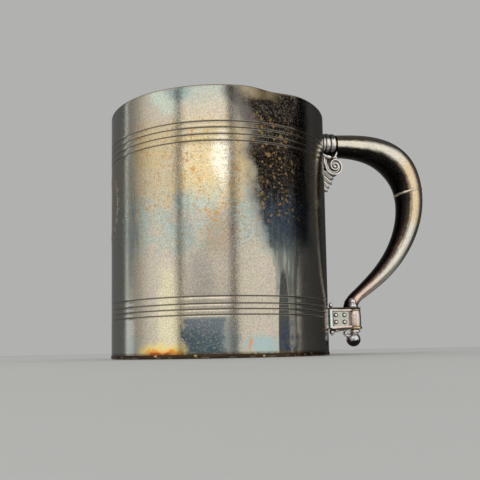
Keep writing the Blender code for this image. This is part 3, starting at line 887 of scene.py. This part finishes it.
def build_upper_mount(cast, bright, painted_shade_plate):
    turns = np.linspace(-0.5, pi + 0.5, 31)
    radius = COLLAR_PLATE_RADIUS
    outline = [(radius * cos(a), COLLAR_HEIGHT + radius * sin(a)) for a in turns]
    outline += [(-2.2, 66), (-1.4, 60.5), (0, 57.6), (1.4, 60.5), (2.2, 66)]
    plate = slab("collar_plate", outline, 36.4, 38, facing_handle, 0.3)
    settle(plate, painted_shade_plate, "upper_back_plate", slot="tarnished_plate")

    profile = [(0, 43.8), (2.2, 43.8), (3.2, 43.5)]
    for x, half_width, radius in ((42.4, 1, 4.1), (40.35, 0.9, 4.15), (38.8, 0.6, 4.1)):
        for a in np.linspace(0.06 * pi, 0.94 * pi, 12):
            profile.append((3.3 + (radius - 3.3) * sin(a)**0.75, x + half_width * cos(a)))
        profile.append((3.25, x - half_width))
    profile += [(3.1, 38.1), (0, 38.1)]
    collar = turned("collar_reeds", profile, along_x(COLLAR_HEIGHT), 96)
    tones = ((0.98, 0.97, 0.95), (0.84, 0.82, 0.76))
    # Painted shade: the collar is black along its underside, below z 73.2; above z 77 it turns darker brown.
    reeds = cast_finish("collar_silver", *tones, shade_black_below=73.2, brown_above=77, cavity=0.55)
    settle(collar, reeds, "reeded_collar")

    cheek = [volute(turn, 0.45) for turn in np.linspace(-270, -505, 30)] + [(38.2, 66.9), (38.2, 71.4)]
    rings = [[(x, y, z) for x, z in cheek] for y in (-CHEEK_REACH, CHEEK_REACH)]
    edge, band = scroll_ribbon()
    settle(mesh_piece("scroll_cheeks", *skin(rings, capped=True)), painted_shade_plate, "scroll_bracket")
    settle(mesh_piece("scroll_band", *band, 50), cast)
    eye = [(0, 2.08), (0.3, 2.06), (0.5, 1.95), (0.58, 1.7), (0.58, 1.2)]
    eye += [(r, -y) for r, y in reversed(eye)]
    place = along_y(VOLUTE_CENTRE[0] + 0.1, VOLUTE_CENTRE[1] - 0.1)
    settle(turned("scroll_eye", eye, place, 32), bright)
    settle(mesh_piece("scroll_edge", *edge, 50), bright)

    # Calyx: rounded petals with one long spike on each side, and a bead.
    petals = (
        (2.35, (42.2, 70.3, 0.3), (42.8, 70.6, 0.42), (43.3, 71.4, 0.38), (43.8, 72.5, 0.3),
         (44.1, 73.2, 0.1)),
        (1.75, (38.5, 72.1, 0.25), (39.4, 71.2, 0.6), (40.5, 70.8, 0.85), (41.6, 70.8, 0.6),
         (42.3, 70.9, 0.15)),
        (1.8, (42.3, 70.8, 0.2), (43, 70.7, 0.6), (43.8, 70.5, 0.6), (44.3, 70.2, 0.2)),
        (1.9, (43.9, 70.4, 0.12), (44.2, 70.1, 0.36), (44.6, 69.9, 0.34), (44.9, 69.8, 0.1)),
    )
    parts = [horn(((38.5, 70.8, 0.4), (40.4, 70.7, 0.5), (43.2, 70.5, 0.4), (44.3, 70.3, 0.2)), across=2.2)]
    for reach, *knots in petals:
        parts += on_both_sides(horn(knots, count=14), reach)
    calyx = mesh_piece("calyx", *merged(parts))
    settle(calyx, bright, "calyx_leaf")

    # Feathered leaf that hangs under the scroll: overlapping, blunt lobes.
    lobes = (
        ((38.4, 66.4, 0.5), (39.7, 65.3, 0.72), (41.2, 64.1, 0.76), (42.3, 63.2, 0.66), (42.9, 62.8, 0.2)),
        ((38.4, 64.4, 0.5), (39.6, 63.3, 0.68), (40.8, 62.3, 0.66), (41.8, 61.4, 0.5), (42.3, 61, 0.15)),
        ((38.4, 62.4, 0.5), (39.3, 61.5, 0.62), (40.1, 60.6, 0.58), (40.8, 59.8, 0.42), (41.2, 59.4, 0.12)),
        ((38.4, 60.6, 0.5), (38.9, 59.7, 0.6), (39.5, 58.9, 0.66), (40.1, 58.5, 0.5), (40.5, 58.3, 0.12)),
    )
    parts = [horn(knots, across=1.5) for knots in lobes]
    leaf = mesh_piece("hanging_leaf", *merged(parts))
    settle(leaf, bright, "leaf_drop")


def build_block(cast, panel, gilt, painted_shade_plate):
    left, right = BLOCK_X
    low, high = BLOCK_Z
    core = BLOCK_HALF_WIDTH - PANEL_DEPTH
    outline = [(left, low + 0.2), (right, low + 0.2), (right, high - 0.2), (left, high - 0.2)]
    centre = slab("block_core", outline, -core, core, upright, 0.1)
    settle(centre, panel, "strap_block")

    # Raised border round the panel on both cheeks, in two steps of (inset, reach).
    steps = (
        (0, 1.9), (0, 2.35), (0.1, 2.55), (0.2, 2.6), (0.3, 2.5), (0.36, 2.3), (0.42, 2.4), (0.5, 2.3),
        (0.54, 1.9),
    )
    parts = []
    for side in (-1, 1):
        rings = [[
            (left + inset, side * reach, low + inset), (right - inset, side * reach, low + inset),
            (right - inset, side * reach, high - inset), (left + inset, side * reach, high - inset),
        ] for inset, reach in steps]
        parts.append(skin(rings, closed=True))
    settle(mesh_piece("block_border", *merged(parts), 30), cast)

    top = [(39.3, 14.9), (42, 14.85), (46.1, 14.9), (46.2, 15.5), (42.5, 15.45), (39.3, 15.55)]
    bottom = [(39.2, 8.75), (41, 8.85), (43.5, 9.05), (46.3, 9.15), (46.3, 9.75), (43.5, 9.75), (39.3, 9.6)]
    for name, outline in (("block_top_strip", top), ("block_bottom_strip", bottom)):
        settle(slab(name, rounded_outline(outline), -2.75, 2.75, upright, 0.1), gilt)
    # The cap is a dark slab, in the painted-shade plate, where a shadowed gap shows above the top strip.
    cap = [(38.9, 15.65), (50.2, 15.65), (50.2, 16.15), (38.9, 16.15)]
    settle(slab("block_cap", cap, -2.5, 2.5, upright, 0.15), painted_shade_plate)

    tones = ((1, 0.99, 0.97), (0.95, 0.92, 0.86), (0.92, 0.82, 0.66))
    white = simple_finish("bright_rivet", *tones, 1.4, (0.1, 0.2), cavity=0)
    head = [(0, 2.48), (0.3, 2.47), (0.44, 2.42), (0.52, 2.3), (0.53, 2)]
    # A dark ring round each rivet head, in the painted-shade plate, stands in for the shade round the head.
    shade_ring = [(0, 2.17), (0.8, 2.17), (0.86, 2.08)]
    for number, (x, z) in enumerate(RIVETS, start=1):
        for name, half, finish, nodes in (
            (f"rivet_{number}", head, white, (f"block_rivet_{number}",)),
            (f"rivet_shade_ring_{number}", shade_ring, painted_shade_plate, ()),
        ):
            profile = half + [(r, -y) for r, y in reversed(half)]
            settle(turned(name, profile, along_y(x, z), 32), finish, *nodes)


def build_lower_mount(cast, bright, panel, painted_shade_plate, barrel_finish):
    gilt = cast_finish("gilt_edge", (0.85, 0.66, 0.42), (0.66, 0.48, 0.28))
    cool = cast_finish("cool_silver", (0.8, 0.93, 0.9), (0.62, 0.76, 0.74), stain=(0.8, 0.76, 0.72))
    pink = cast_finish("pink_silver", (0.88, 0.76, 0.7), (0.72, 0.6, 0.54))
    side = [(1.3, 4.7), (2.4, 6.2), (3, 9), (3, 15.9), (2.4, 18), (1.3, 19.6)]
    outline = [(0, 4.4)] + side + [(0, 19.9)] + [(-y, z) for y, z in reversed(side)]
    plate = slab("block_back_plate", rounded_outline(outline), 35.9, 37.6, facing_handle, 0.4)
    settle(plate, painted_shade_plate, "lower_back_plate")
    front = [(38.3, 8.9), (39.1, 8.9), (39.35, 9.2), (39.35, 15.3), (39.1, 15.6), (38.3, 15.6)]
    settle(slab("flange_moulding", front, -2.95, 2.95, upright, 0.18), cool, "block_flange")
    foot = [(37.4, 8.7), (39.5, 8.7), (39.5, 15.7), (37.4, 15.7)]
    settle(slab("flange_foot", foot, -2.4, 2.4, upright, 0.2), painted_shade_plate)
    build_block(cast, panel, pink, painted_shade_plate)

    bead = [(0, 2.1), (0.4, 1.95), (0.68, 1.3), (0.66, 0.8), (0.4, 0.25), (0.55, 0), (0.3, -0.2), (0, -0.2)]
    settle(turned("flange_bead", eased(bead, 0.12), along_z(39.8, 15.95), 32), bright, "top_bead")
    drop = [(0, 2.4), (0.6, 2.3), (0.95, 1.6), (0.9, 1.05), (0.55, 0.5), (0.3, 0.3), (0.15, 0), (0, 0)]
    settle(turned("flange_drop", eased(drop, 0.12), along_z(39.95, 6.35), 32), bright, "pendant_drop")

    apron = [(40.8, 9), (40.9, 8.1), (42, 7.9), (43.4, 7.95), (44.6, 8.3), (45.8, 8.4), (46, 9)]
    settle(slab("apron", rounded_outline(apron), -2.1, 2.1, upright, 0.08), painted_shade_plate, "apron_moulding")
    bead = horn(((40.5, 8.2, 0.12), (41.6, 7.85, 0.2), (43, 7.8, 0.2), (44.2, 8.1, 0.12)))
    settle(mesh_piece("apron_bead", *merged(on_both_sides(bead, 2.15))), bright)
    knots = (
        (45.9, 8.6, 0.5), (45.2, 8, 0.52), (44.75, 7.3, 0.5), (44.85, 6.6, 0.42), (45.35, 6.3, 0.34),
        (45.8, 6.75, 0.3), (45.95, 7.3, 0.14),
    )
    curl = mesh_piece("apron_scroll", *horn(knots, across=1.9, count=30))
    settle(curl, bright, "apron_curl")

    stack = (
        ("barrel_upper_ring", "barrel_top_ring", gilt, 48.7,
         eased([(0, 15.65), (2.15, 15.65), (2.3, 15.3), (2.1, 14.85), (0, 14.85)], 0.15)),
        ("barrel", "knuckle_barrel", barrel_finish, 48.75,
         [(0, 14.95), (2.05, 14.95), (2.15, 14.6), (2.2, 13.9), (2.23, 12.2), (2.2, 10.4), (2.13, 9.8),
          (2.05, 9.5), (0, 9.5)]),
        ("barrel_lower_ring", "barrel_bottom_ring", gilt, 48.9,
         eased([(0, 9.6), (2.1, 9.6), (2.4, 9.2), (2.35, 8.7), (1.8, 8.45), (0, 8.45)], 0.15)),
    )
    for name, node, finish, x, profile in stack:
        settle(turned(name, profile, along_z(x, 0), 48), finish, node)
    neck = [(0, 8.6), (1.3, 8.6), (1.35, 8.35), (1.85, 8.15), (1.9, 7.65), (1.3, 7.4), (1.2, 7), (0, 7)]
    neck = turned("finial_neck", eased(neck, 0.1), along_z(PIN_X, 0), 48)
    settle(neck, bright, "finial_collar", "finial_pin")
    ball = [(BALL_RADIUS * sin(a), BALL_RADIUS * cos(a)) for a in np.linspace(0, pi, 25)]
    ball[0] = (0, BALL_RADIUS)
    ball[-1] = (0, -BALL_RADIUS)
    # Painted shade: the ball's lower half, below its centre, is black.
    ball_plate = cast_finish("ball_plate", (0.96, 0.94, 0.98), (0.8, 0.79, 0.82), shade_black_below=5, cavity=0.3)
    settle(turned("ball", ball, along_z(*BALL_CENTRE), 64), ball_plate, "ball_finial")

    # Pair of small knobs where the handle turns down on to the barrel.
    knob = [
        (0, 19.4), (0.7, 19.3), (1.15, 18.8), (1.3, 18.1), (1.1, 17.5), (1.4, 17.1), (1.5, 16.5), (1.3, 16),
        (0, 16),
    ]
    place = along_z(47.35, 0)
    rings = [[place(1.1 * r, h, turn) for turn in around(40)] for r, h in eased(knob, 0.3)]
    knobs = mesh_piece("elbow_knobs", *merged(on_both_sides(skin(rings), 2.05)))
    settle(knobs, cast_finish("knob_silver", (0.98, 0.93, 0.93), (0.88, 0.76, 0.76), cavity=0.2))


def build_wreath():
    """Laurel wreath engraved in bright cuts opposite the handle."""
    centre_turn = radians(182)
    centre_height = 49
    half_width, half_height = 8.6, 9.6
    leaves = 9
    parts = []

    def place(u, v, lift):
        z = centre_height + v
        radius = wall_radius(z) + lift
        return wall_point(radius, z, centre_turn + u / radius)

    def leaf(u, v, heading, length, width):
        """Pointed leaf with a raised midrib, cut into the wall's skin."""
        du, dv = cos(heading), sin(heading)
        rings = []
        for t in np.linspace(0, 1, 7):
            half = width * sin(pi * t)**0.8 / 2 + 0.01
            cu, cv = u + du * length * t, v + dv * length * t
            near, far = (cu - dv * half, cv + du * half), (cu + dv * half, cv - du * half)
            ring = ((near, 0.004), ((cu, cv), 0.045), (far, 0.004), ((cu, cv), -0.05))
            rings.append([place(*spot, lift) for spot, lift in ring])
        parts.append(skin(rings, capped=True))

    for side in (-1, 1):
        for k in range(leaves):
            a = radians(-78 + 148 * k / (leaves - 1))
            u = side * half_width * cos(a)
            v = half_height * sin(a)
            forward = atan2(half_height * cos(a), -side * half_width * sin(a))
            for spread in (-0.5, 0.5):
                leaf(u, v, forward + spread, 3.6 - 0.12 * k, 1.15)
            leaf(u, v, forward, 2.7, 0.22)
    for heading in (-2.3, -0.85):
        leaf(0, 0.2 - half_height, heading, 3, 0.7)
    wreath = mesh_piece("laurel_engraving", *merged(parts), 20)
    tones = ((0.8, 0.7, 0.48), (0.66, 0.56, 0.38), (0.38, 0.3, 0.18))
    settle(wreath, simple_finish("bright_cut", *tones, 2, (0.22, 0.35), cavity=0))


# ---------------------------------------------------------------- stage, light and camera

def build_floor():
    sides = 96
    reaches = (0.5, 60, 200, 500, 900)
    rings = [[(r * cos(a), r * sin(a), -0.2) for a in around(sides)] for r in reaches]
    points, faces = skin(rings)
    faces.append(tuple(range(sides)))
    floor = mesh_piece("floor", points, faces)
    f = Finish("pale_floor")
    f.shader.inputs["Metallic"].default_value = 0
    f.shader.inputs["Specular IOR Level"].default_value = 0.15
    f.colour = f.mix(f.cloud(60, 3), (0.6, 0.6, 0.59), (0.62, 0.62, 0.61))
    floor.data.materials.append(f.done(0.7))
    floor.visible_glossy = False


# Studio brightness by direction round the mug, in degrees with the handle at 0.
STUDIO = (
    (-180, 0.82), (-167, 0.98), (-146, 0.98), (-144.6, 0.14), (-140.6, 0.14), (-139, 1),
    (-118, 1), (-92, 1.05), (-90.6, 0.13), (-85.5, 0.13), (-84, 0.88), (-60, 0.95), (-22, 0.8),
    (-18, 0.08), (30, 0.04), (62, 0.04), (78, 0.24), (94, 0.24), (104, 0.14), (141, 0.14),
    (145, 0.2), (145.8, 1.3), (147.2, 1.3), (148.5, 0.24), (159, 0.34), (170, 0.55), (175, 0.68),
    (180, 0.82),
)
BACKDROP = (0.44, 0.44, 0.435)
PAPER_LIGHT = (0.62, 0.62, 0.61)

# Camera: place in millimetres, turn about the upright, tilt up and lean in degrees, and focal length.
CAMERA_SPOT = (-46.84, -220.36, 2.02)
CAMERA_YAW = -13.817
CAMERA_PITCH = 9.444
CAMERA_ROLL = 1.117
CAMERA_LENS = 49.65


def light_studio():
    world = bpy.data.worlds.new("studio")
    world.use_nodes = True
    bpy.context.scene.world = world
    world.node_tree.nodes.clear()
    w = Graph(world.node_tree)
    x, y, z = w.split(w.node("ShaderNodeTexCoord").outputs["Generated"])
    azimuth = w.times(w.math("ARCTAN2", y, x), 180 / pi)
    up = w.times(w.math("ARCSINE", z), 180 / pi)
    stops = [((place + 180) / 360, (bright, bright * 0.985, bright * 0.95)) for place, bright in STUDIO]
    w.colour = w.ramp(w.math("DIVIDE", w.plus(azimuth, 180), 360), stops)

    # The middle panel fades low down and has a hot spot. A faint light stands low on the left and a
    # thin strip on the right. Above and below the panels it is dim.
    w.lay((0, 0, 0), w.band(azimuth, -138.5, -93, 1.5), w.span(up, 3, 10, 0.36, 0))
    w.lay((2, 1.95, 1.75), w.band(azimuth, -136, -94, 3), w.band(up, 13.8, 16.8, 2.5), 0.5)
    w.lay((0.85, 0.85, 0.84), w.band(azimuth, 149, 158, 2), w.band(up, -2, 3.2, 1.5), 0.8)
    w.lay((0.6, 0.6, 0.57), w.band(azimuth, -16.4, -14.2, 0.8), w.band(up, -2, 6, 2))
    w.lay((0.3, 0.3, 0.29), w.span(up, 36, 54))
    w.lay((0.22, 0.22, 0.21), w.span(up, -10, -26))

    def background(colour):
        return w.node("ShaderNodeBackground", {"Color": colour}).outputs[0]

    def either(share, a, b):
        return w.node("ShaderNodeMixShader", {0: share, 1: a, 2: b}).outputs[0]

    rays = w.node("ShaderNodeLightPath").outputs
    soft = either(rays["Is Diffuse Ray"], background(w.colour), background(PAPER_LIGHT))
    seen = either(rays["Is Camera Ray"], soft, background(BACKDROP))
    w.node("ShaderNodeOutputWorld", {"Surface": seen})

    lamp = bpy.data.lights.new("soft_box", "AREA")
    lamp.shape = "DISK"
    lamp.size = 0.5
    lamp.energy = 1
    box = shown("soft_box", lamp)
    box.location = (-0.35, -0.3, 0.75)
    box.visible_glossy = False
    aim = Vector((0, 0, 0.04)) - box.location
    box.rotation_euler = aim.to_track_quat("-Z", "Y").to_euler()


def place_camera():
    """Stands low in front of the mug, a little round from square to the handle."""
    camera = bpy.data.cameras.new("camera")
    camera.lens = CAMERA_LENS
    camera.sensor_width = 36
    camera.clip_start = 0.001
    camera.clip_end = 10
    holder = shown("camera", camera)
    yaw = Matrix.Rotation(radians(CAMERA_YAW), 4, "Z")
    pitch = Matrix.Rotation(radians(CAMERA_PITCH), 4, "X")
    roll = Matrix.Rotation(radians(CAMERA_ROLL), 4, "Y")
    facing = Matrix.Rotation(radians(90), 4, "X")
    spot = Matrix.Translation(Vector(CAMERA_SPOT) * MM)
    holder.matrix_world = spot @ yaw @ pitch @ roll @ facing
    bpy.context.scene.camera = holder


def build_mug():
    cast = cast_finish("cast_plate", (0.9, 0.88, 0.84), (0.7, 0.68, 0.63))
    tones = ((1, 0.98, 0.95), (0.9, 0.86, 0.8), (0.86, 0.68, 0.58))
    bright = cast_finish("bright_silver", *tones, cavity=0.3)
    tones = ((0.7, 0.72, 0.67), (0.5, 0.51, 0.47), (0.3, 0.29, 0.26))
    panel = simple_finish("matted_panel", *tones, 0.7, (0.2, 0.32), pits=0.016, cavity=0.4)
    # Near-black plate: painted shade for the back plates and the small pieces set behind and between the
    # mounts, which sit in shadow.
    tones = ((0.1, 0.09, 0.08), (0.04, 0.035, 0.03), (0.16, 0.11, 0.06))
    painted_shade_plate = simple_finish("painted_shade_plate", *tones, 2.5, (0.2, 0.35), cavity=0.8)
    tones = ((0.96, 0.84, 0.78), (0.8, 0.66, 0.6), (0.62, 0.44, 0.34))
    barrel = simple_finish("barrel_plate", *tones, 0.9, (0.2, 0.32), pits=0.012, cavity=0.5)
    build_body()
    build_handle()
    build_upper_mount(cast, bright, painted_shade_plate)
    build_lower_mount(cast, bright, panel, painted_shade_plate, barrel)
    build_wreath()


bpy.context.scene.view_settings.view_transform = "Standard"
build_mug()
build_floor()
light_studio()
place_camera()
